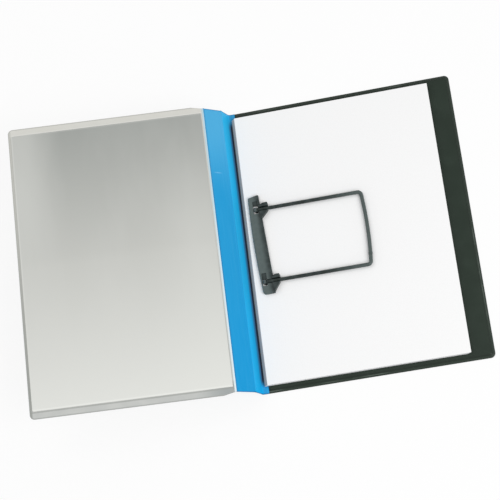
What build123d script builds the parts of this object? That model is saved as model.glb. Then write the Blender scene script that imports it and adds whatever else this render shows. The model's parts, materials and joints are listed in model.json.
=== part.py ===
from build123d import *
import math
import os

# Open A4 clip binder, in millimetres.
# +X runs from the spine to the free edge of the back cover, +Y up the page, +Z off the table.
# The origin is the centre of the back cover's underside, which lies on the table.

# Punched A4 sheets
paper_width = 210.0
paper_height = 297.0
paper_stack = 5.0
paper_bundles = 3
paper_hole_radius = 3.0
hole_margin = 13.0
hole_spacing = 80.0
paper_to_fold = 4.7
paper_room = 0.1

# Back cover: a board between two welded foils
side_margin = 25.3
end_margin = 7.5
cover_corner_radius = 5.0
foil = 0.4
board = 1.8
weld_width = 3.0
board_corner_radius = 2.0

# Coloured band that makes the spine: weld strip, spine panel and front strip
band = 0.6
band_weld_width = 6.5
band_weld_foil = 0.5
spine_width = 17.0
front_strip_width = 22.5
fold_bead_radius = 0.65
fold_gap = 0.25

# Direction of each panel at rest, in degrees from +X towards +Z
spine_angle = 108.0
front_strip_angle = 137.5
front_angle = 171.5

# Clear front cover and its inner pocket sheet
front_inset = 7.5
front_overhang = 2.5
front_taper = 12.0
front_sheet = 0.5
pocket_sheet = 0.3
pocket_room = 0.4
pocket_play = 0.3
pocket_edge_border = 4.5
pocket_weld = 1.6
pocket_to_fold = 3.0

# Filing clip: base with its posts
base_length = 100.0
base_beyond_post = 6.0
base_room = 0.4
post_radius = 1.7
post_room = 0.3

# Bow: two arms joined by a bowed end, which opens at a pin near one corner
arm_radius = 1.95
arm_above_paper = 0.5
arm_root_gap = 2.0
bow_reach = 112.4
bow_end_bulge = 2.0
bow_corner_radius = 3.6
knuckle_room = 0.25
flex_to_post = 16.8
flex_radius = 1.8
gate_joint_to_arm = 10.5
gate_gap = 0.25
pin_root_radius = 0.95
pin_tip_radius = 0.6
pin_length = 3.2
pin_room = 0.4
collar_radius = 2.2
collar_length = 2.4

# Press strip: a bowed bar with a slot and a hook for each arm
strip_thickness = 3.0
strip_above_paper = 0.2
strip_turn = 2.2
strip_offset = 0.9
strip_top_left_end = 14.4
strip_top_right_end = 16.4
strip_bottom_end = 13.4
strip_left_width = 5.7
strip_top_right_width = 5.6
strip_bottom_right_width = 7.2
strip_bulge = 1.7
strip_bottom_left_radius = 3.5
strip_bottom_right_radius = 1.5
strip_top_radius = 0.8
strip_edge_chamfer = 0.7
slot_width = 5.2
slot_above_post = 9.5
slot_below_post = 4.5
channel_room = 0.4
hook_height = 1.7
hook_reach = 14.3
hook_lobe_top = 5.8
hook_lobe_inner = 9.2
hook_notch = 4.2
hook_web_tip = 2.4
upper_hook_foot = 10.4
lower_hook_foot = 11.4
hook_root = 1.2
hook_corner_radius = 0.9

# Levels and places worked out from the sizes above
cover_height = paper_height + 2 * end_margin
back_width = paper_to_fold + paper_width + side_margin
front_width = back_width - front_strip_width - front_inset
half_height = cover_height / 2
fold_x = -back_width / 2
free_edge_x = back_width / 2
band_weld_bottom = 2 * foil
band_weld_top = band_weld_bottom + band_weld_foil
fold_z = (band_weld_bottom + band_weld_top) / 2
board_bottom = foil
board_top = foil + board
cover_top = board_top + foil
paper_top = cover_top + paper_stack
paper_left = fold_x + paper_to_fold
paper_slide = paper_hole_radius - post_radius - paper_room
post_x = paper_left + hole_margin
post_ys = (-hole_spacing / 2, hole_spacing / 2)
strip_bottom_y = post_ys[0] - strip_bottom_end
strip_top_y = post_ys[1] + strip_top_right_end
arm_z = paper_top + arm_above_paper + arm_radius
board_left = fold_x + band_weld_width + foil
board_right = free_edge_x - weld_width
board_half_height = half_height - weld_width


def block(x0, x1, y0, y1, z0, z1):
    """Box between two corners."""
    middle = Pos((x0 + x1) / 2, (y0 + y1) / 2, (z0 + z1) / 2)
    return middle * Box(x1 - x0, y1 - y0, z1 - z0)


def plate(x0, x1, half, z0, z1, left_radius, right_radius):
    """Plate, symmetric in Y, with its own corner radius at the low and high X ends."""
    outline = Pos((x0 + x1) / 2, 0) * Rectangle(x1 - x0, 2 * half)
    ends = outline.vertices().sort_by(Axis.X)
    if right_radius > 0:
        outline = fillet(ends[-2:], right_radius)
    if left_radius > 0:
        outline = fillet(outline.vertices().sort_by(Axis.X)[:2], left_radius)
    return Pos(0, 0, z0) * extrude(outline, z1 - z0)


def post_cylinder(y, radius, z0, z1):
    """Upright cylinder on the line of the filing holes."""
    return Pos(post_x, y, (z0 + z1) / 2) * Cylinder(radius, z1 - z0)


def at_fold(shape, hinge, rise):
    """Turns a panel built along +X from its fold to its rest direction, and sets it on the fold."""
    return Pos(hinge[0], 0, hinge[1]) * Rot(0, -rise, 0) * shape


def along(hinge, rise, length):
    """Point at a distance from a fold in a panel's direction, in the XZ plane."""
    angle = math.radians(rise)
    return (hinge[0] + length * math.cos(angle), hinge[1] + length * math.sin(angle))


def fold_bead(x, z, radius):
    """Round bead along a fold line, the full height of the covers."""
    return Pos(x, 0, z) * Rot(90, 0, 0) * Cylinder(radius, cover_height)


back_fold = (fold_x, fold_z)
strip_fold = along(back_fold, spine_angle, spine_width)
front_fold = along(strip_fold, front_strip_angle, front_strip_width)


# Back cover
foil_left = fold_x + fold_bead_radius + fold_gap


def back_cover_outer_foil():
    return plate(foil_left, free_edge_x, half_height, 0, foil, 0, cover_corner_radius)


def base_plate(room):
    """The clip's base plate, or with a room the notch that it takes out of the board's edge."""
    left = board_left + base_room - room
    right = post_x + base_beyond_post + room
    half = base_length / 2 + room
    return block(left, right, -half, half, board_bottom, board_top)


def back_cover_board():
    sheet = plate(
        board_left,
        board_right - foil,
        board_half_height - foil,
        board_bottom,
        board_top,
        board_corner_radius,
        board_corner_radius,
    )
    return sheet - base_plate(base_room)


def back_cover_inner_foil():
    wall_radius = board_corner_radius + foil
    cap = plate(
        board_left - foil,
        board_right,
        board_half_height,
        foil,
        cover_top,
        wall_radius,
        wall_radius,
    )
    hollow = plate(
        board_left,
        board_right - foil,
        board_half_height - foil,
        board_bottom,
        board_top,
        board_corner_radius,
        board_corner_radius,
    )
    rim = plate(foil_left, free_edge_x, half_height, foil, 2 * foil, 0, cover_corner_radius)
    shell = cap + rim - hollow
    for y in post_ys:
        shell -= post_cylinder(y, post_radius + post_room, board_top, cover_top)
    return shell


# Coloured band
def spine_band_weld_strip():
    strip = block(
        fold_x,
        fold_x + band_weld_width,
        -half_height,
        half_height,
        band_weld_bottom,
        band_weld_top,
    )
    return strip + fold_bead(fold_x, fold_z, fold_bead_radius)


def band_panel(width):
    """Panel of the band from one fold to the next, with the next fold's bead on its far edge."""
    start = fold_bead_radius + fold_gap
    sheet = block(start, width, -half_height, half_height, -band / 2, band / 2)
    return sheet + fold_bead(width, 0, fold_bead_radius)


def spine_band_panel():
    return at_fold(band_panel(spine_width), back_fold, spine_angle)


def spine_band_front_strip():
    return at_fold(band_panel(front_strip_width), strip_fold, front_strip_angle)


# Front cover: its inner side is -Z in the panel's own frame
def front_cover_sheet():
    """Sheet a little taller than the band, which tapers to the band's height at the fold."""
    start = fold_bead_radius + fold_gap
    full_height = start + front_taper
    half = half_height + front_overhang
    outline = Polyline(
        (start, -half_height),
        (full_height, -half),
        (front_width, -half),
        (front_width, half),
        (full_height, half),
        (start, half_height),
        close=True,
    )
    face = make_face(outline)
    face = fillet(face.vertices().sort_by(Axis.X)[-2:], cover_corner_radius)
    sheet = Pos(0, 0, -front_sheet / 2) * extrude(face, front_sheet)
    return at_fold(sheet, front_fold, front_angle)


def front_pocket_sheet():
    top = -front_sheet / 2
    room_half = paper_height / 2 + pocket_play
    room_right = front_width - pocket_edge_border
    depth = pocket_room + pocket_sheet
    sheet = plate(
        pocket_to_fold,
        room_right + pocket_weld,
        room_half + pocket_weld,
        top - depth,
        top,
        0,
        board_corner_radius,
    )
    room = block(pocket_to_fold, room_right, -room_half, room_half, top - pocket_room, top)
    return at_fold(sheet - room, front_fold, front_angle)


# Punched sheets, filed in bundles that have slid as far as their holes let them
def paper_bundle(number):
    thickness = paper_stack / paper_bundles
    bottom = cover_top + number * thickness
    top = bottom + thickness
    slide = paper_slide * (2 * number / (paper_bundles - 1) - 1)
    left = paper_left + slide
    half = paper_height / 2
    sheets = block(left, left + paper_width, -half, half, bottom, top)
    for y in post_ys:
        sheets -= Pos(slide, 0, 0) * post_cylinder(y, paper_hole_radius, bottom, top)
    return sheets


# Filing clip
def post_knuckle(y, radius, length):
    """Barrel on top of a post, along the line that the bow folds about."""
    return Pos(post_x, y, arm_z) * Rot(90, 0, 0) * Cylinder(radius, length)


def clip_base():
    base = base_plate(0)
    for y in post_ys:
        base += post_cylinder(y, post_radius, board_bottom, arm_z)
        base += post_knuckle(y, arm_radius, 2 * arm_radius)
    return base


def strip_right_side(y):
    """Width of the bar on the bow's side of its middle line, which grows towards its lower end."""
    share = (y - strip_bottom_y) / (strip_top_y - strip_bottom_y)
    return strip_bottom_right_width + share * (strip_top_right_width - strip_bottom_right_width)


def round_corner(face, x, y, radius):
    """The face with its corner nearest to a point rounded."""
    return fillet(face.vertices().sort_by_distance((x, y, 0))[0], radius)


def press_strip_outline():
    """The bar, bowed on its spine side, with a slanted top end and a rounded lower end."""
    left = -strip_left_width
    top_left_y = post_ys[1] + strip_top_left_end
    middle = (left - strip_bulge, (top_left_y + strip_bottom_y) / 2)
    bowed = ThreePointArc((left, top_left_y), middle, (left, strip_bottom_y))
    straight = Polyline(
        (left, strip_bottom_y),
        (strip_bottom_right_width, strip_bottom_y),
        (strip_top_right_width, strip_top_y),
        (left, top_left_y),
    )
    bar = make_face([bowed, straight])
    bar = round_corner(bar, left, strip_bottom_y, strip_bottom_left_radius)
    bar = round_corner(bar, strip_bottom_right_width, strip_bottom_y, strip_bottom_right_radius)
    return fillet(bar.vertices().sort_by(Axis.Y)[-2:], strip_top_radius)


def hook_outline(y, foot):
    """One hook, which reaches out from the bar on both sides of an arm and slants back to its foot."""
    upper_side = strip_right_side(y + hook_notch)
    lower_side = strip_right_side(y - foot)
    outline = Polyline(
        (upper_side - hook_root, y + hook_notch),
        (upper_side, y + hook_notch),
        (hook_lobe_inner, y + hook_lobe_top),
        (hook_reach, y + hook_lobe_top),
        (hook_reach, y - hook_web_tip),
        (lower_side, y - foot),
        (lower_side - hook_root, y - foot),
        close=True,
    )
    hook = make_face(outline)
    lobe = hook.vertices().sort_by(Axis.Y)[-2:]
    return fillet(lobe, hook_corner_radius)


def press_strip():
    bottom = paper_top + strip_above_paper
    bar = extrude(press_strip_outline(), strip_thickness)
    top_edges = bar.faces().sort_by(Axis.Z)[-1].edges()
    bar = chamfer(top_edges, strip_edge_chamfer)
    for y, foot in zip(post_ys, (lower_hook_foot, upper_hook_foot)):
        bar += extrude(hook_outline(y, foot), strip_thickness + hook_height)
    strip = Pos(post_x + strip_offset, 0, bottom) * Rot(0, 0, strip_turn) * bar
    channel_top = bottom + strip_thickness + hook_height
    half_channel = arm_radius + channel_room
    for y in post_ys:
        strip -= block(
            post_x - slot_width / 2,
            post_x + slot_width / 2,
            y - slot_below_post,
            y + slot_above_post,
            bottom,
            channel_top,
        )
        strip -= block(
            post_x,
            post_x + strip_offset + hook_reach + slot_width,
            y - half_channel,
            y + half_channel,
            bottom,
            channel_top,
        )
    return strip


bow_top_y = hole_spacing / 2
bow_end_x = post_x + bow_reach
bow_end_radius = (bow_top_y**2 + bow_end_bulge**2) / (2 * bow_end_bulge)
gate_joint_y = gate_joint_to_arm - bow_top_y
flex_x = post_x + flex_to_post


def bow_rod():
    """The whole bow as one round rod: two arms, two rounded corners and the bowed end."""
    upper = Line((post_x, bow_top_y), (bow_end_x, bow_top_y))
    bulge = (bow_end_x + bow_end_bulge, 0)
    end = ThreePointArc((bow_end_x, bow_top_y), bulge, (bow_end_x, -bow_top_y))
    lower = Line((bow_end_x, -bow_top_y), (post_x, -bow_top_y))
    line = Wire([upper, end, lower])
    corners = line.vertices().sort_by(Axis.X)[-2:]
    path = Pos(0, 0, arm_z) * line.fillet_2d(bow_corner_radius, corners)
    start = Plane(origin=path @ 0, z_dir=path % 0)
    return sweep(start * Circle(arm_radius), path=path)


def gate_joint():
    """Plane across the bowed end where the two halves of the bow meet, facing the fixed half."""
    slope = math.asin(gate_joint_y / bow_end_radius)
    centre_x = bow_end_x + bow_end_bulge - bow_end_radius
    origin = (centre_x + bow_end_radius * math.cos(slope), gate_joint_y, arm_z)
    return Plane(origin=origin, x_dir=(0, 0, 1), z_dir=(-math.sin(slope), math.cos(slope), 0))


def joint_cylinder(root_radius, tip_radius, start, end):
    """Round pin, bore or collar on the gate joint's axis."""
    middle = Pos(0, 0, (start + end) / 2)
    if root_radius == tip_radius:
        return gate_joint() * middle * Cylinder(root_radius, end - start)
    return gate_joint() * middle * Cone(root_radius, tip_radius, end - start)


def beyond_joint(start, side):
    """All the space on one side of the gate joint, for cutting the bow in two."""
    size = 4 * (bow_reach + hole_spacing)
    return gate_joint() * Pos(0, 0, start + side * size / 2) * Box(size, size, size)


def short_of(x, y):
    """All the space round an arm on the spine side of a place along it, for cutting its end off."""
    side = 2 * arm_radius
    return block(x - bow_reach, x, y - side, y + side, arm_z - side, arm_z + side)


def post_seat(y):
    """Cut at the start of an arm that gives its post's knuckle room to turn in."""
    return post_knuckle(y, arm_radius + knuckle_room, 4 * arm_radius)


def flex_knuckle(radius):
    """Upright barrel through the lower arm where it flexes, longer than the arm is thick."""
    return Pos(flex_x, -bow_top_y, arm_z) * Cylinder(radius, 4 * arm_radius)


def bow_fixed_half():
    """Upper arm and bowed end, as far as the gate joint, with a socket for the pin."""
    half = bow_rod() & beyond_joint(0, 1)
    half += joint_cylinder(collar_radius, collar_radius, 0, collar_length)
    half -= short_of(post_x + arm_root_gap, bow_top_y)
    half -= post_seat(bow_top_y)
    bore = pin_root_radius + pin_room
    return half - joint_cylinder(bore, bore, 0, pin_length + pin_room)


def bow_lower_root():
    """Short root of the lower arm, through its hook, ending in the knuckle where the arm flexes."""
    length = flex_to_post + arm_radius
    rod = Pos(post_x + length / 2, -bow_top_y, arm_z) * Rot(0, 90, 0) * Cylinder(arm_radius, length)
    root = rod & short_of(flex_x, -bow_top_y)
    root += rod & flex_knuckle(flex_radius)
    root -= short_of(post_x + arm_root_gap, -bow_top_y)
    return root - post_seat(-bow_top_y)


def bow_gate_half():
    """Lower arm and corner, with the tapered pin that enters the fixed half."""
    half = bow_rod() & beyond_joint(-gate_gap, -1)
    half += joint_cylinder(pin_root_radius, pin_root_radius, -arm_radius, 0)
    half += joint_cylinder(pin_root_radius, pin_tip_radius, 0, pin_length)
    half -= short_of(flex_x, -bow_top_y)
    return half - flex_knuckle(flex_radius + knuckle_room)


os.makedirs("parts", exist_ok=True)

pieces = {
    "back_cover_outer_foil": back_cover_outer_foil(),
    "back_cover_board": back_cover_board(),
    "back_cover_inner_foil": back_cover_inner_foil(),
    "spine_band_weld_strip": spine_band_weld_strip(),
    "spine_band_panel": spine_band_panel(),
    "spine_band_front_strip": spine_band_front_strip(),
    "front_cover_sheet": front_cover_sheet(),
    "front_pocket_sheet": front_pocket_sheet(),
    "clip_base": clip_base(),
    "press_strip": press_strip(),
    "bow_fixed_half": bow_fixed_half(),
    "bow_lower_root": bow_lower_root(),
    "bow_gate_half": bow_gate_half(),
}
for number in range(paper_bundles):
    pieces[f"paper_bundle_{number + 1}"] = paper_bundle(number)

for name, piece in pieces.items():
    export_step(piece, f"parts/{name}.step")
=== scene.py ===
import json
import math
import bmesh
import bpy
from mathutils import Matrix, Vector


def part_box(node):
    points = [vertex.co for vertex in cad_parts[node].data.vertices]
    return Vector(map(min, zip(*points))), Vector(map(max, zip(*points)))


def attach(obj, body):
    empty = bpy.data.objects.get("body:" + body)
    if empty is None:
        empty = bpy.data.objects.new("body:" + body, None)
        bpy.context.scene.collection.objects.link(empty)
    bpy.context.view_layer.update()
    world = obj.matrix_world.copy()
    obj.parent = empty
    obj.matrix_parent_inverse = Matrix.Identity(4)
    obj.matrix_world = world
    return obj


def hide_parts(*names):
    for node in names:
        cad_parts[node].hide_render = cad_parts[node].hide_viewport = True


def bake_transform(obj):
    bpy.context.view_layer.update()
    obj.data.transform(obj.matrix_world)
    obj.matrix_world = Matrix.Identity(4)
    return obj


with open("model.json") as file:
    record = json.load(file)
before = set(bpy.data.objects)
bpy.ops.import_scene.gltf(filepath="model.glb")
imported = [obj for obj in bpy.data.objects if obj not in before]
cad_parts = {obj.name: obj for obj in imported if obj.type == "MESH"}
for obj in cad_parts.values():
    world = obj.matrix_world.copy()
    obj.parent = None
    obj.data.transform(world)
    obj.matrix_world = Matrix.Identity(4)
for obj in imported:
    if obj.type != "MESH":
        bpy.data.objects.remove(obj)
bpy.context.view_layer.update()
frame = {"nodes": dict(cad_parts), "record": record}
scene = bpy.context.scene

# Lengths are in metres
MM = 0.001
CORNER_RADIUS = 5 * MM
POST_YS = (-40 * MM, 40 * MM)

# Places and sizes read from the frame
joints = {joint["name"]: joint for joint in frame["record"]["behaviour"]["joints"]}
back_fold = Vector(joints["spine_fold"]["pos_m"])
strip_fold = Vector(joints["front_strip_fold"]["pos_m"])
front_fold = Vector(joints["front_cover_fold"]["pos_m"])
flex_point = Vector(joints["bow_opening"]["pos_m"])
post_x = joints["bow_fold"]["pos_m"][0]

cover_low, cover_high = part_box("back_cover_inner_foil")
front_low, front_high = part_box("front_cover_sheet")
root_low, root_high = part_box("bow_lower_root")
outer_foil_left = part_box("back_cover_outer_foil")[0].x
weld_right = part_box("spine_band_weld_strip")[1].x
band_half_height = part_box("spine_band_panel")[1].y
sheets_half_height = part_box("paper_bundle_1")[1].y
strip_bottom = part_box("press_strip")[0].z

spine_direction = (strip_fold - back_fold).normalized()
strip_direction = (front_fold - strip_fold).normalized()
front_direction = (Vector((front_low.x, 0, front_high.z)) - front_fold).normalized()
arm_radius = (root_high.z - root_low.z) / 2


# Material nodes
def display(red, green, blue):
    """Linear colour of a colour given as it looks on a display, from 0 to 255."""
    linear = []
    for value in (red, green, blue):
        share = value / 255
        linear.append(share / 12.92 if share <= 0.04045 else ((share + 0.055) / 1.055) ** 2.4)
    return (*linear, 1)


def feed(tree, socket, value):
    """Sets a socket to a value, or links it from another socket."""
    if isinstance(value, bpy.types.NodeSocket):
        tree.links.new(value, socket)
    else:
        socket.default_value = value


def add_node(tree, kind, inputs=None, **settings):
    """Node with its settings, and its sockets set to values or linked from other sockets."""
    made = tree.nodes.new(kind)
    for name, value in settings.items():
        setattr(made, name, value)
    for name, value in (inputs or {}).items():
        feed(tree, made.inputs[name], value)
    return made


class Look:
    """Material whose colour is built up in layers over one shader."""

    def __init__(self, name, roughness, specular=0.5, opacity=1.0):
        self.material = bpy.data.materials.new(name)
        self.material.use_nodes = True
        self.tree = self.material.node_tree
        self.shader = self.tree.nodes["Principled BSDF"]
        self.shader.inputs["Roughness"].default_value = roughness
        self.shader.inputs["Specular IOR Level"].default_value = specular
        self.shader.inputs["Alpha"].default_value = opacity
        self.color = None

    def node(self, kind, inputs=None, **settings):
        """Node of this material."""
        return add_node(self.tree, kind, inputs, **settings)

    def place(self):
        """The point's place at rest, in metres."""
        return self.node("ShaderNodeTexCoord").outputs["Object"]

    def axis(self, name):
        """One coordinate of the point's place."""
        return self.node("ShaderNodeSeparateXYZ", {"Vector": self.place()}).outputs[name]

    def calc(self, operation, first, second=0.0):
        """Result of an operation on two numbers, or on the first alone."""
        return self.node("ShaderNodeMath", {0: first, 1: second}, operation=operation).outputs[0]

    def both(self, first, second):
        """Product of two factors."""
        return self.calc("MULTIPLY", first, second)

    def noise(self, scale, detail=3, stretch=(1, 1, 1)):
        """Noise with about that many spots to a metre, stretched along the axes."""
        mapped = self.node("ShaderNodeMapping", {"Vector": self.place(), "Scale": stretch})
        inputs = {"Vector": mapped.outputs["Vector"], "Scale": scale, "Detail": detail}
        return self.node("ShaderNodeTexNoise", inputs).outputs["Fac"]

    def ramp(self, value, low, high, curve="SMOOTHSTEP"):
        """Goes from 0 to 1 as the value goes from low to high."""
        inputs = {"Value": value, "From Min": low, "From Max": high}
        return self.node("ShaderNodeMapRange", inputs, interpolation_type=curve).outputs["Result"]

    def spots(self, scale, low, high, detail=3, stretch=(1, 1, 1)):
        """Noise as a factor, which is 0 up to its low value and 1 from its high value."""
        return self.ramp(self.noise(scale, detail, stretch), low, high)

    def line(self, distance, centre, half_width):
        """1 on a line at a distance, falling softly to 0 at its half width."""
        off = self.calc("ABSOLUTE", self.calc("SUBTRACT", distance, centre))
        return self.ramp(off, half_width, 0.0)

    def distance_inside(self, across, half_height):
        """How far the point lies inside a cover's outline, from its distance to one side edge."""
        down = self.calc("SUBTRACT", half_height, self.calc("ABSOLUTE", self.axis("Y")))
        over_x = self.calc("SUBTRACT", CORNER_RADIUS, across)
        over_y = self.calc("SUBTRACT", CORNER_RADIUS, down)
        corner_x = self.calc("POWER", self.calc("MAXIMUM", over_x, 0.0), 2.0)
        corner_y = self.calc("POWER", self.calc("MAXIMUM", over_y, 0.0), 2.0)
        corner = self.calc("SQRT", self.calc("ADD", corner_x, corner_y))
        straight = self.calc("MINIMUM", self.calc("MAXIMUM", over_x, over_y), 0.0)
        return self.calc("SUBTRACT", self.calc("SUBTRACT", CORNER_RADIUS, corner), straight)

    def mix(self, factor, first, second):
        """Colour that goes from the first to the second with a factor. The node's sockets for
        colours are 6, 7 and, of its outputs, 2: the others have the same names."""
        made = self.node("ShaderNodeMix", {0: factor, 6: first, 7: second}, data_type="RGBA")
        return made.outputs[2]

    def fade(self, value, first, second, low, high, curve="SMOOTHSTEP"):
        """Colour that goes from the first to the second as the value goes from low to high."""
        return self.mix(self.ramp(value, low, high, curve), first, second)

    def lay(self, factor, color, share=None):
        """Lays a colour over the others by a factor, or by a share of it."""
        if share is not None:
            factor = self.both(factor, share)
        self.color = self.mix(factor, self.color, color)

    def lay_line(self, distance, color, centre, half_width, share):
        """Lays a soft line of a colour over the others at a distance."""
        self.lay(self.line(distance, centre, half_width), color, share)

    def bump(self, height, strength, distance):
        """Fine relief on the surface."""
        inputs = {"Height": height, "Strength": strength, "Distance": distance}
        made = self.node("ShaderNodeBump", inputs)
        feed(self.tree, self.shader.inputs["Normal"], made.outputs["Normal"])

    def finished(self):
        """The material, with its colour on the shader."""
        feed(self.tree, self.shader.inputs["Base Color"], self.color)
        return self.material


# Materials
def black_foil():
    """Satin green-black foil with a fine grain. Along its weld seam it has a painted highlight
    line with painted glints, and a painted shade line over the board's edge.
    """
    plain = display(33, 45, 36)
    scuffed = display(39, 51, 42)
    painted_seam_highlight = display(56, 66, 58)
    painted_groove_shade = display(22, 30, 24)
    glint = display(120, 130, 122)
    look = Look("black_foil", roughness=0.42, specular=0.3)
    look.color = look.mix(look.spots(45, low=0.35, high=0.75, detail=5), plain, scuffed)
    across = look.calc("SUBTRACT", cover_high.x, look.axis("X"))
    inside = look.distance_inside(across, cover_high.y)
    # Painted light along the weld seam: a pale painted highlight line, a dark painted shade line,
    # and pale painted glints in spots.
    look.lay_line(inside, painted_seam_highlight, centre=1.3 * MM, half_width=1.6 * MM, share=0.6)
    look.lay_line(inside, painted_groove_shade, centre=3.4 * MM, half_width=0.8 * MM, share=0.6)
    shining = look.line(inside, centre=1.9 * MM, half_width=0.6 * MM)
    look.lay(look.both(shining, look.spots(22, low=0.5, high=0.66)), glint, share=0.6)
    look.bump(look.noise(2600, detail=2), strength=0.25, distance=0.1 * MM)
    return look.finished()


def blue_foil(name, top, middle, bottom, shade, shade_heights, highlight_mark_at=None):
    """Smooth blue foil, paler towards the top of the page as a painted sheen, and darker along its
    edges. Beside the sheets it has a painted shade, from the first height down to the second,
    where it is full. Where a place is given, a short pale line lies there as a painted highlight."""
    streak = display(90, 190, 236)
    painted_highlight_mark = display(140, 205, 238)
    trim = display(30, 112, 168)
    front_edge = display(40, 116, 164)
    look = Look(name, roughness=0.36, specular=0.12)
    x = look.axis("X")
    y = look.axis("Y")
    from_middle = look.calc("ABSOLUTE", y)
    # Tones up the page are painted light: the paler top is a painted sheen.
    look.color = look.fade(y, bottom, middle, low=-150 * MM, high=40 * MM)
    look.lay(look.ramp(y, low=50 * MM, high=140 * MM), top)
    look.lay(look.spots(160, low=0.3, high=0.75, stretch=(3, 0.15, 3)), streak, share=0.08)
    beside_sheets = look.ramp(
        from_middle, low=sheets_half_height + 1.6 * MM, high=sheets_half_height - 8 * MM
    )
    low_down = look.ramp(look.axis("Z"), *shade_heights)
    look.lay(look.both(beside_sheets, low_down), shade)
    # Painted highlight: a short pale line across the foil.
    if highlight_mark_at:
        across = look.line(x, centre=highlight_mark_at[0], half_width=5 * MM)
        along = look.line(y, centre=highlight_mark_at[1], half_width=1.1 * MM)
        look.lay(look.both(across, along), painted_highlight_mark, share=0.5)
    look.lay_line(from_middle, trim, centre=band_half_height, half_width=1.5 * MM, share=0.8)
    front_edge_x = front_fold.x + 0.6 * MM
    look.lay_line(x, front_edge, centre=front_edge_x, half_width=1.3 * MM, share=0.5)
    look.bump(look.noise(300, stretch=(1, 0.2, 1)), strength=0.2, distance=0.4 * MM)
    return look.finished()


def frosted_look(name, opacity):
    """Frosted see-through foil, and the distances from its left, top and bottom edges."""
    look = Look(name, roughness=0.5, specular=0.3, opacity=opacity)
    look.bump(look.noise(1800, detail=2), strength=0.15, distance=0.1 * MM)
    left = look.calc("SUBTRACT", look.axis("X"), front_low.x)
    top = look.calc("SUBTRACT", front_high.y, look.axis("Y"))
    bottom = look.calc("SUBTRACT", look.axis("Y"), front_low.y)
    return look, left, top, bottom


def frosted_sheet():
    """Border of the front cover: grey at the bottom and cream at the top as painted light and
    shade, with painted shade towards the band, and darker on its outline.
    """
    grey = display(198, 200, 197)
    cream = display(219, 218, 211)
    patch = display(226, 226, 222)
    band_shade = display(160, 166, 166)
    bottom_seam = display(166, 168, 164)
    top_seam = display(230, 230, 225)
    side_tones = (display(152, 155, 150), display(196, 197, 191))
    outline_tones = (display(166, 168, 165), display(186, 186, 180))
    look, left, top, bottom = frosted_look("frosted_sheet", opacity=0.93)
    # Painted light and shade: grey at the bottom as painted shade, cream at the top as painted
    # light.
    look.color = look.fade(bottom, grey, cream, low=10 * MM, high=300 * MM)
    look.lay(look.spots(40, low=0.35, high=0.7), patch, share=0.25)
    towards_band = look.ramp(look.axis("X"), low=-184 * MM, high=-150 * MM)
    below_pocket = look.ramp(bottom, low=16 * MM, high=10 * MM)
    look.lay(look.both(towards_band, below_pocket), band_shade, share=0.85)
    look.lay_line(bottom, bottom_seam, centre=7 * MM, half_width=1.2 * MM, share=0.8)
    look.lay_line(top, top_seam, centre=7 * MM, half_width=1.2 * MM, share=0.7)
    side_tone = look.fade(bottom, *side_tones, low=20 * MM, high=290 * MM)
    look.lay_line(left, side_tone, centre=1.4 * MM, half_width=2.4 * MM, share=0.9)
    inside = look.distance_inside(left, front_high.y)
    outline_tone = look.fade(bottom, *outline_tones, low=40 * MM, high=280 * MM)
    look.lay_line(inside, outline_tone, centre=0.3 * MM, half_width=1.3 * MM, share=0.9)
    return look.finished()


def frosted_pocket():
    """Pocket of the front cover: darker towards its top as painted shade, with painted glows
    towards the band and the far edge, soft waves and weld lines.
    """
    bottom_tone = display(231, 232, 227)
    middle_tone = display(202, 203, 198)
    top_tone = display(162, 165, 161)
    band_glow = display(240, 241, 235)
    far_glow = display(220, 221, 216)
    wave = display(228, 229, 225)
    left_seam = display(226, 227, 222)
    bottom_seam = display(244, 245, 240)
    top_seam = display(196, 198, 194)
    look, left, top, bottom = frosted_look("frosted_pocket", opacity=0.95)
    x = look.axis("X")
    y = look.axis("Y")
    # Painted shade: the pocket darkens from its bottom towards its top.
    lower = look.fade(y, bottom_tone, middle_tone, low=-155 * MM, high=10 * MM, curve="LINEAR")
    look.color = look.fade(y, lower, top_tone, low=0, high=160 * MM, curve="LINEAR")
    # Painted light: soft glows towards the band and towards the far edge's top.
    towards_band = look.ramp(x, low=-230 * MM, high=-150 * MM)
    below_top = look.ramp(y, low=150 * MM, high=20 * MM)
    look.lay(look.both(towards_band, below_top), band_glow, share=0.14)
    towards_far_edge = look.ramp(x, low=-290 * MM, high=-340 * MM)
    towards_top = look.ramp(y, low=-40 * MM, high=100 * MM)
    look.lay(look.both(towards_far_edge, towards_top), far_glow, share=0.5)
    look.lay(look.spots(14, low=0.35, high=0.7, stretch=(1.6, 0.5, 1)), wave, share=0.1)
    look.lay_line(left, left_seam, centre=3.9 * MM, half_width=1.0 * MM, share=0.5)
    look.lay_line(bottom, bottom_seam, centre=9.2 * MM, half_width=1.4 * MM, share=0.7)
    look.lay_line(top, top_seam, centre=8.8 * MM, half_width=1.0 * MM, share=0.4)
    return look.finished()


def frosted_edge():
    """Pale edge where the front cover's sheet is welded to the band: partly the welded frosted
    foil, partly a painted highlight along the edge.
    """
    bottom_tone = display(226, 240, 244)
    top_tone = display(186, 214, 224)
    spot = display(238, 246, 248)
    look = Look("frosted_edge", roughness=0.5)
    y = look.axis("Y")
    look.color = look.fade(y, bottom_tone, top_tone, low=-140 * MM, high=150 * MM)
    look.lay(look.spots(90, low=0.35, high=0.7, stretch=(1, 0.3, 1)), spot, share=0.3)
    return look.finished()


def clip_plastic(name, first, second, factor_of):
    """Moulded dark grey-green plastic with a fine satin texture, from one tone to another."""
    mottle = display(120, 132, 132)
    look = Look(name, roughness=0.38, specular=0.35)
    look.color = look.mix(factor_of(look), first, second)
    look.lay(look.spots(220, low=0.3, high=0.7, detail=4), mottle, share=0.12)
    look.bump(look.noise(3500, detail=2), strength=0.2, distance=0.08 * MM)
    return look.finished()


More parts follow.
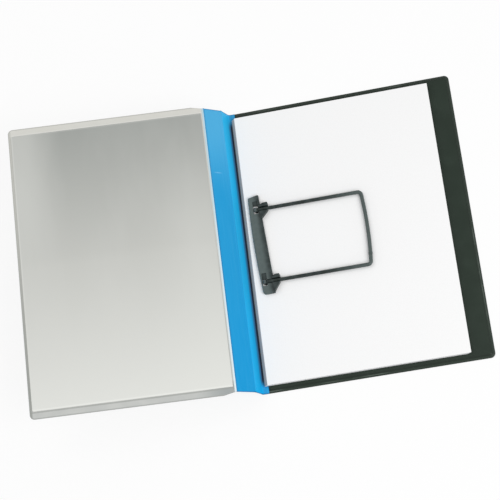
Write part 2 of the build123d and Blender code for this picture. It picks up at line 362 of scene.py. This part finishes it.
def strip_side_shade(look):
    """From 0 inside the press strip to 1 along its side away from the band, which leans: a painted
    shade on that side.
    """
    lean = math.radians(3)
    side_from_posts = 7.3 * MM
    shade_start = 7.5 * MM
    shade_end = 0.8 * MM
    along_x = look.calc("MULTIPLY", look.axis("X"), math.cos(lean))
    along_y = look.calc("MULTIPLY", look.axis("Y"), math.sin(lean))
    side = (post_x + side_from_posts) * math.cos(lean)
    return look.ramp(look.calc("ADD", along_x, along_y), side - shade_start, side - shade_end)


def along_bow(look):
    """From 0 on the arms to 1 at the bow's far end."""
    return look.ramp(look.axis("X"), low=-40 * MM, high=12 * MM)


def in_spots(look):
    """From 0 to 1 in soft spots."""
    return look.spots(80, low=0.3, high=0.7)


def white_paper():
    """White copy paper, with its sheets' edges as fine lines on the sides of the stack, and
    painted shade on the side that faces the fold.
    """
    top_tones = (display(247, 247, 247), display(250, 250, 250))
    pale_tones = (display(226, 226, 229), display(244, 244, 246))
    shaded_left_tones = (display(208, 182, 168), display(222, 198, 186))
    look = Look("white_paper", roughness=0.75, specular=0.2)
    top = look.mix(look.spots(900, low=0.3, high=0.7, detail=4), *top_tones)
    edges = look.spots(60, low=0.42, high=0.58, detail=1, stretch=(0.2, 0.2, 160))
    pale_side = look.mix(edges, *pale_tones)
    shaded_left_side = look.mix(edges, *shaded_left_tones)
    normal = look.node("ShaderNodeNewGeometry").outputs["Normal"]
    facing = look.node("ShaderNodeSeparateXYZ", {"Vector": normal}).outputs
    # Painted shade: faces turned towards the fold get the darker tones.
    side = look.fade(facing["X"], pale_side, shaded_left_side, low=-0.3, high=-0.6)
    look.color = look.fade(facing["Z"], side, top, low=0.8, high=0.95)
    return look.finished()


BLACK = black_foil()
# The three blue foils are copies of one foil whose tones differ as painted light: the strip's
# paler top is a painted sheen, the spine's tones are made brighter to make up for the light its
# slant misses, and each is given painted shade beside the sheets.
BLUE_STRIP = blue_foil(
    "blue_strip",
    top=display(78, 173, 222),
    middle=display(35, 155, 213),
    bottom=display(22, 151, 212),
    shade=display(40, 84, 128),
    shade_heights=(6 * MM, 2 * MM),
    highlight_mark_at=(front_fold.x + 7 * MM, 83 * MM),
)
BLUE_SPINE = blue_foil(
    "blue_spine",
    top=display(40, 186, 242),
    middle=display(34, 186, 245),
    bottom=display(27, 178, 240),
    shade=display(64, 106, 148),
    shade_heights=(6 * MM, 1 * MM),
)
BLUE_WELD = blue_foil(
    "blue_weld",
    top=display(50, 158, 208),
    middle=display(46, 154, 208),
    bottom=display(44, 164, 222),
    shade=display(42, 52, 66),
    shade_heights=(3 * MM, 1.5 * MM),
)
EDGE = frosted_edge()
PANEL = frosted_pocket()
BORDER = frosted_sheet()
# The press strip darkens towards its side away from the band as painted shade.
CLIP = clip_plastic("clip_plastic", display(81, 93, 91), display(30, 42, 41), strip_side_shade)
# The slot wedges are dark as painted shade of the slot's recess.
SHADED_RAMP = clip_plastic("shaded_ramp_plastic", display(34, 44, 43), display(46, 57, 56), in_spots)
BASE = clip_plastic("base_plastic", display(62, 72, 72), display(74, 84, 84), in_spots)
BOW = clip_plastic("bow_plastic", display(28, 38, 35), display(74, 84, 82), along_bow)
PAPER = white_paper()

NODE_MATERIALS = {
    "back_cover_outer_foil": BLACK,
    "back_cover_board": BLACK,
    "back_cover_inner_foil": BLACK,
    "spine_band_weld_strip": BLUE_WELD,
    "spine_band_panel": BLUE_SPINE,
    "spine_band_front_strip": BLUE_STRIP,
    "front_cover_sheet": BORDER,
    "front_pocket_sheet": PANEL,
    "clip_base": BASE,
    "press_strip": CLIP,
    "bow_fixed_half": BOW,
    "bow_lower_root": BOW,
    "bow_gate_half": BOW,
    "paper_bundle_1": PAPER,
    "paper_bundle_2": PAPER,
    "paper_bundle_3": PAPER,
}
for node, node_material in NODE_MATERIALS.items():
    node_mesh = frame["nodes"][node].data
    node_mesh.materials.clear()
    node_mesh.materials.append(node_material)


# Shapes
def add_piece(name, bm, materials, body=None, smooth=False):
    """Piece with its materials, which moves with a body where one is named."""
    bmesh.ops.recalc_face_normals(bm, faces=bm.faces)
    mesh = bpy.data.meshes.new(name)
    bm.to_mesh(mesh)
    bm.free()
    for material in materials:
        mesh.materials.append(material)
    for polygon in mesh.polygons:
        polygon.use_smooth = smooth
    piece = bpy.data.objects.new(name, mesh)
    scene.collection.objects.link(piece)
    if body:
        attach(piece, body)
    return piece


def rounded_outline(x0, x1, half, left_radius, right_radius, steps=8):
    """Corners of a rectangle that is symmetric in Y, each as a quarter turn of points."""
    corners = (
        (x1, half, right_radius, 0),
        (x0, half, left_radius, 90),
        (x0, -half, left_radius, 180),
        (x1, -half, right_radius, 270),
    )
    points = []
    for x, y, radius, start in corners:
        centre_x = x - math.copysign(radius, x - (x0 + x1) / 2)
        centre_y = y - math.copysign(radius, y)
        for step in range(steps + 1):
            turn = math.radians(start + 90 * step / steps)
            points.append((centre_x + radius * math.cos(turn), centre_y + radius * math.sin(turn)))
    return points


def circle(x, y, radius, steps=32):
    """Points round a circle."""
    angles = [2 * math.pi * step / steps for step in range(steps)]
    return [(x + radius * math.cos(angle), y + radius * math.sin(angle)) for angle in angles]


def add_ring(bm, points, z, shear=0.0):
    """Closed ring of vertices at a height."""
    return [bm.verts.new((x + shear, y, z)) for x, y in points]


def join_rings(bm, lower, upper):
    """Faces between two rings with the same number of points."""
    count = len(lower)
    for index in range(count):
        following = (index + 1) % count
        bm.faces.new((lower[index], lower[following], upper[following], upper[index]))


def cap_rings(bm, rings):
    """Flat faces inside an outer ring and outside the holes' rings."""
    edges = []
    for ring in rings:
        for index, vertex in enumerate(ring):
            following = ring[(index + 1) % len(ring)]
            edge = bm.edges.get((vertex, following))
            edges.append(edge if edge else bm.edges.new((vertex, following)))
    bmesh.ops.triangle_fill(bm, use_beauty=True, edges=edges)


def inner_foil():
    """Foil that is welded along a pressed bead, then drawn up over the board's edge."""
    # Distance in from the outline and height over the weld, in millimetres
    bead = (
        (0.0, -0.1),
        (0.1, 0.0),
        (0.55, 0.0),
        (0.75, 0.16),
        (1.0, 0.2),
        (1.25, 0.16),
        (1.45, 0.0),
    )
    weld_z = cover_low.z + 0.4 * MM
    top_z = cover_high.z
    rim_left_radius = 0.05 * MM
    slope_start = 1.8 * MM
    slope_run = 1.9 * MM
    slope_steps = 7
    slope_left_radius = 2 * MM
    left_run_share = 0.5
    least_radius = 2.4 * MM
    hole_radius = 2 * MM
    levels = [(0.0, cover_low.z, outer_foil_left, rim_left_radius)]
    for inset, lift in bead:
        left = outer_foil_left + inset * MM
        levels.append((inset * MM, weld_z + lift * MM, left, rim_left_radius))
    for step in range(slope_steps + 1):
        share = step / slope_steps
        inset = slope_start + share * slope_run
        lift = share * share * (3 - 2 * share)
        left = weld_right + left_run_share * (inset - slope_start)
        levels.append((inset, weld_z + lift * (top_z - weld_z), left, slope_left_radius))
    bm = bmesh.new()
    rings = []
    for inset, z, left, left_radius in levels:
        right_radius = max(least_radius, CORNER_RADIUS - inset)
        right = cover_high.x - inset
        outline = rounded_outline(left, right, cover_high.y - inset, left_radius, right_radius)
        rings.append(add_ring(bm, outline, z))
    for lower, upper in zip(rings, rings[1:]):
        join_rings(bm, lower, upper)
    holes = [add_ring(bm, circle(post_x, y, hole_radius), top_z) for y in POST_YS]
    cap_rings(bm, [rings[-1], *holes])
    piece = add_piece("inner_foil_skin", bm, [BLACK], "back_cover", smooth=True)
    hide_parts("back_cover_inner_foil")


def paper_bundles():
    """Sheets in three bundles, each leaning away from the fold, so that their side slants."""
    lean = 0.6 * MM
    hole_to_edge = 13 * MM
    hole_radius = 3 * MM
    corner = 0.3 * MM
    for number in (1, 2, 3):
        node = f"paper_bundle_{number}"
        low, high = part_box(node)
        hole_x = low.x + hole_to_edge
        outline = rounded_outline(low.x, high.x, high.y, corner, corner, steps=2)
        bm = bmesh.new()
        caps = []
        for z, shear in ((low.z, -lean), (high.z, lean)):
            outer = add_ring(bm, outline, z, shear)
            holes = [add_ring(bm, circle(hole_x, y, hole_radius), z) for y in POST_YS]
            cap_rings(bm, [outer, *holes])
            caps.append([outer, *holes])
        for lower, upper in zip(*caps):
            join_rings(bm, lower, upper)
        piece = add_piece(f"sheets_{number}", bm, [PAPER], "back_cover")
        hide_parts(node)


def fold_section(hinge, into, out, along, crown):
    """Upper and lower point of a fold's foil at a distance before or past the fold."""
    turn_run = 0.9 * MM
    crown_run = 1.7 * MM
    half_thickness = 0.33 * MM
    if abs(along) >= turn_run:
        direction = into if along < 0 else out
        centre = hinge + along * direction
    else:
        share = (along + turn_run) / (2 * turn_run)
        first = hinge - turn_run * into
        last = hinge + turn_run * out
        centre = (1 - share) ** 2 * first + 2 * share * (1 - share) * hinge + share**2 * last
        direction = ((1 - share) * into + share * out).normalized()
    bulge = max(0.0, 1 - (along / crown_run) ** 2) ** 2
    thickness = half_thickness + (crown - half_thickness) * bulge
    side = Vector((-direction.z, 0, direction.x)) * thickness
    return centre + side, centre - side


def fold_foil(name, hinge, into, out, reaches, crown, materials):
    """Strip of foil that bends over a fold and is thick enough there to cover the fold's bead.
    It comes in along one panel with the first material and goes out along the next."""
    steps = 16
    before, past = reaches
    distances = [-before + (before + past) * step / steps for step in range(steps + 1)]
    sections = [fold_section(hinge, into, out, along, crown) for along in distances]
    bm = bmesh.new()
    edges = []
    for y in (-band_half_height, band_half_height):
        for points in zip(*sections):
            edges.append([bm.verts.new((point.x, y, point.z)) for point in points])
    upper_a, lower_a, upper_b, lower_b = edges
    for index in range(steps):
        following = index + 1
        faces = (
            (upper_a[index], upper_a[following], upper_b[following], upper_b[index]),
            (lower_a[index], lower_b[index], lower_b[following], lower_a[following]),
            (upper_a[index], lower_a[index], lower_a[following], upper_a[following]),
            (upper_b[index], upper_b[following], lower_b[following], lower_b[index]),
        )
        for corners in faces:
            face = bm.faces.new(corners)
            face.material_index = 0 if distances[index] + distances[following] < 0 else 1
    for index in (0, steps):
        bm.faces.new((upper_a[index], upper_b[index], lower_b[index], lower_a[index]))
    piece = add_piece(name, bm, materials)
    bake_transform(piece)


def flex_sleeve():
    """Thin sleeve over the place where the lower arm flexes."""
    rings = 12
    sides = 24
    start = flex_point.x - 1.4 * MM
    length = 4.6 * MM
    skin = 0.01 * MM
    swell = 0.06 * MM
    bm = bmesh.new()
    made = []
    for step in range(rings + 1):
        share = step / rings
        radius = arm_radius + (swell * math.sin(math.pi * share) + skin)
        points = circle(flex_point.y, flex_point.z, radius, steps=sides)
        made.append([bm.verts.new((start + share * length, y, z)) for y, z in points])
    for first, second in zip(made, made[1:]):
        join_rings(bm, first, second)
    piece = add_piece("flex_sleeve", bm, [BOW], smooth=True)
    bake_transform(piece)


def slot_ramp(name, post_y, start):
    """Wedge inside a slot of the press strip, which leads an arm onto its post. It rises from
    its free end, at a distance from the post, to the slot's upper wall."""
    half_width = 2.63 * MM
    end = 9.53 * MM
    corner = 0.7 * MM
    bottom = strip_bottom + 0.05 * MM
    low_top = bottom + 0.7 * MM
    high_top = bottom + 2.0 * MM
    outline = (
        (-half_width, end),
        (-half_width, start + corner),
        (-half_width + corner, start),
        (half_width - corner, start),
        (half_width, start + corner),
        (half_width, end),
    )
    bm = bmesh.new()
    lower = add_ring(bm, [(post_x + x, post_y + along) for x, along in outline], bottom)
    upper = []
    for x, along in outline:
        z = low_top + (along - start) / (end - start) * (high_top - low_top)
        upper.append(bm.verts.new((post_x + x, post_y + along, z)))
    join_rings(bm, lower, upper)
    cap_rings(bm, [lower])
    cap_rings(bm, [upper])
    # Dark plastic here is painted shade of the slot's recess.
    add_piece(name, bm, [SHADED_RAMP], "press_strip")


inner_foil()
paper_bundles()
fold_foil(
    "back_fold_foil",
    hinge=back_fold,
    into=Vector((-1, 0, 0)),
    out=spine_direction,
    reaches=(3 * MM, 3 * MM),
    crown=0.95 * MM,
    materials=(BLUE_WELD, BLUE_SPINE),
)
fold_foil(
    "crease_foil",
    hinge=strip_fold,
    into=spine_direction,
    out=strip_direction,
    reaches=(3 * MM, 3 * MM),
    crown=0.8 * MM,
    materials=(BLUE_SPINE, BLUE_STRIP),
)
fold_foil(
    "front_fold_foil",
    hinge=front_fold,
    into=strip_direction,
    out=front_direction,
    reaches=(2.2 * MM, 1.7 * MM),
    crown=0.8 * MM,
    materials=(BLUE_STRIP, EDGE),
)
flex_sleeve()
slot_ramp("upper_slot_ramp", POST_YS[1], start=4.8 * MM)
slot_ramp("lower_slot_ramp", POST_YS[0], start=3.2 * MM)


# Floor, light and camera
def make_floor():
    """Wide pale floor that shows nearly white to the camera and keeps the object's shadow."""
    half_size = 20.0
    level = -0.2 * MM
    pale = 0.93
    white_share = 0.86
    mesh = bpy.data.meshes.new("floor")
    signs = ((-1, -1), (1, -1), (1, 1), (-1, 1))
    corners = [(x * half_size, y * half_size, level) for x, y in signs]
    mesh.from_pydata(corners, [], [(0, 1, 2, 3)])
    floor = bpy.data.objects.new("floor", mesh)
    scene.collection.objects.link(floor)
    look = Look("floor", roughness=0.9)
    look.color = (pale, pale, pale, 1)
    seen = look.node("ShaderNodeLightPath").outputs["Is Camera Ray"]
    white = look.node("ShaderNodeEmission", {"Strength": 1.0}).outputs[0]
    inputs = {0: look.both(seen, white_share), 1: look.shader.outputs[0], 2: white}
    mixed = look.node("ShaderNodeMixShader", inputs).outputs[0]
    feed(look.tree, look.tree.nodes["Material Output"].inputs["Surface"], mixed)
    mesh.materials.append(look.finished())


def make_world():
    """Even white light, with a pure white background for the camera."""
    light_strength = 0.55
    seen_strength = 1.0
    world = bpy.data.worlds.new("studio")
    world.use_nodes = True
    scene.world = world
    tree = world.node_tree
    seen = add_node(tree, "ShaderNodeLightPath").outputs["Is Camera Ray"]
    inputs = {"Value": seen, "To Min": light_strength, "To Max": seen_strength}
    strength = add_node(tree, "ShaderNodeMapRange", inputs).outputs["Result"]
    background = tree.nodes["Background"]
    feed(tree, background.inputs["Color"], (1, 1, 1, 1))
    feed(tree, background.inputs["Strength"], strength)


def area_light(name, place, size, power):
    """Soft square light that points at the middle of the back cover."""
    light = bpy.data.lights.new(name, "AREA")
    light.shape = "SQUARE"
    light.size = size
    light.energy = power
    lamp = bpy.data.objects.new(name, light)
    lamp.location = place
    lamp.rotation_mode = "QUATERNION"
    lamp.rotation_quaternion = (-Vector(place)).to_track_quat("-Z", "Y")
    scene.collection.objects.link(lamp)


def make_camera():
    """Camera at the photograph's angle, found from the corners of the sheets and the covers."""
    place = Vector((131.6, -536.6, 1628.9)) * MM
    forward = Vector((-0.13266, 0.31356, -0.94026)).normalized()
    right = Vector((0.97652, -0.12111, -0.17816)).normalized()
    up = right.cross(forward)
    data = bpy.data.cameras.new("camera")
    data.sensor_width = 36
    data.lens = 118.15
    data.shift_x = -0.03
    data.shift_y = -0.016
    camera = bpy.data.objects.new("camera", data)
    turn = Matrix((right, up, -forward)).transposed()
    camera.matrix_world = Matrix.Translation(place) @ turn.to_4x4()
    scene.collection.objects.link(camera)
    scene.camera = camera


make_floor()
make_world()
area_light("key", place=(1.2, -0.9, 1.5), size=1.4, power=23.5)
area_light("fill", place=(-0.9, 0.7, 1.5), size=1.2, power=5.5)
make_camera()

scene.view_settings.view_transform = "Standard"
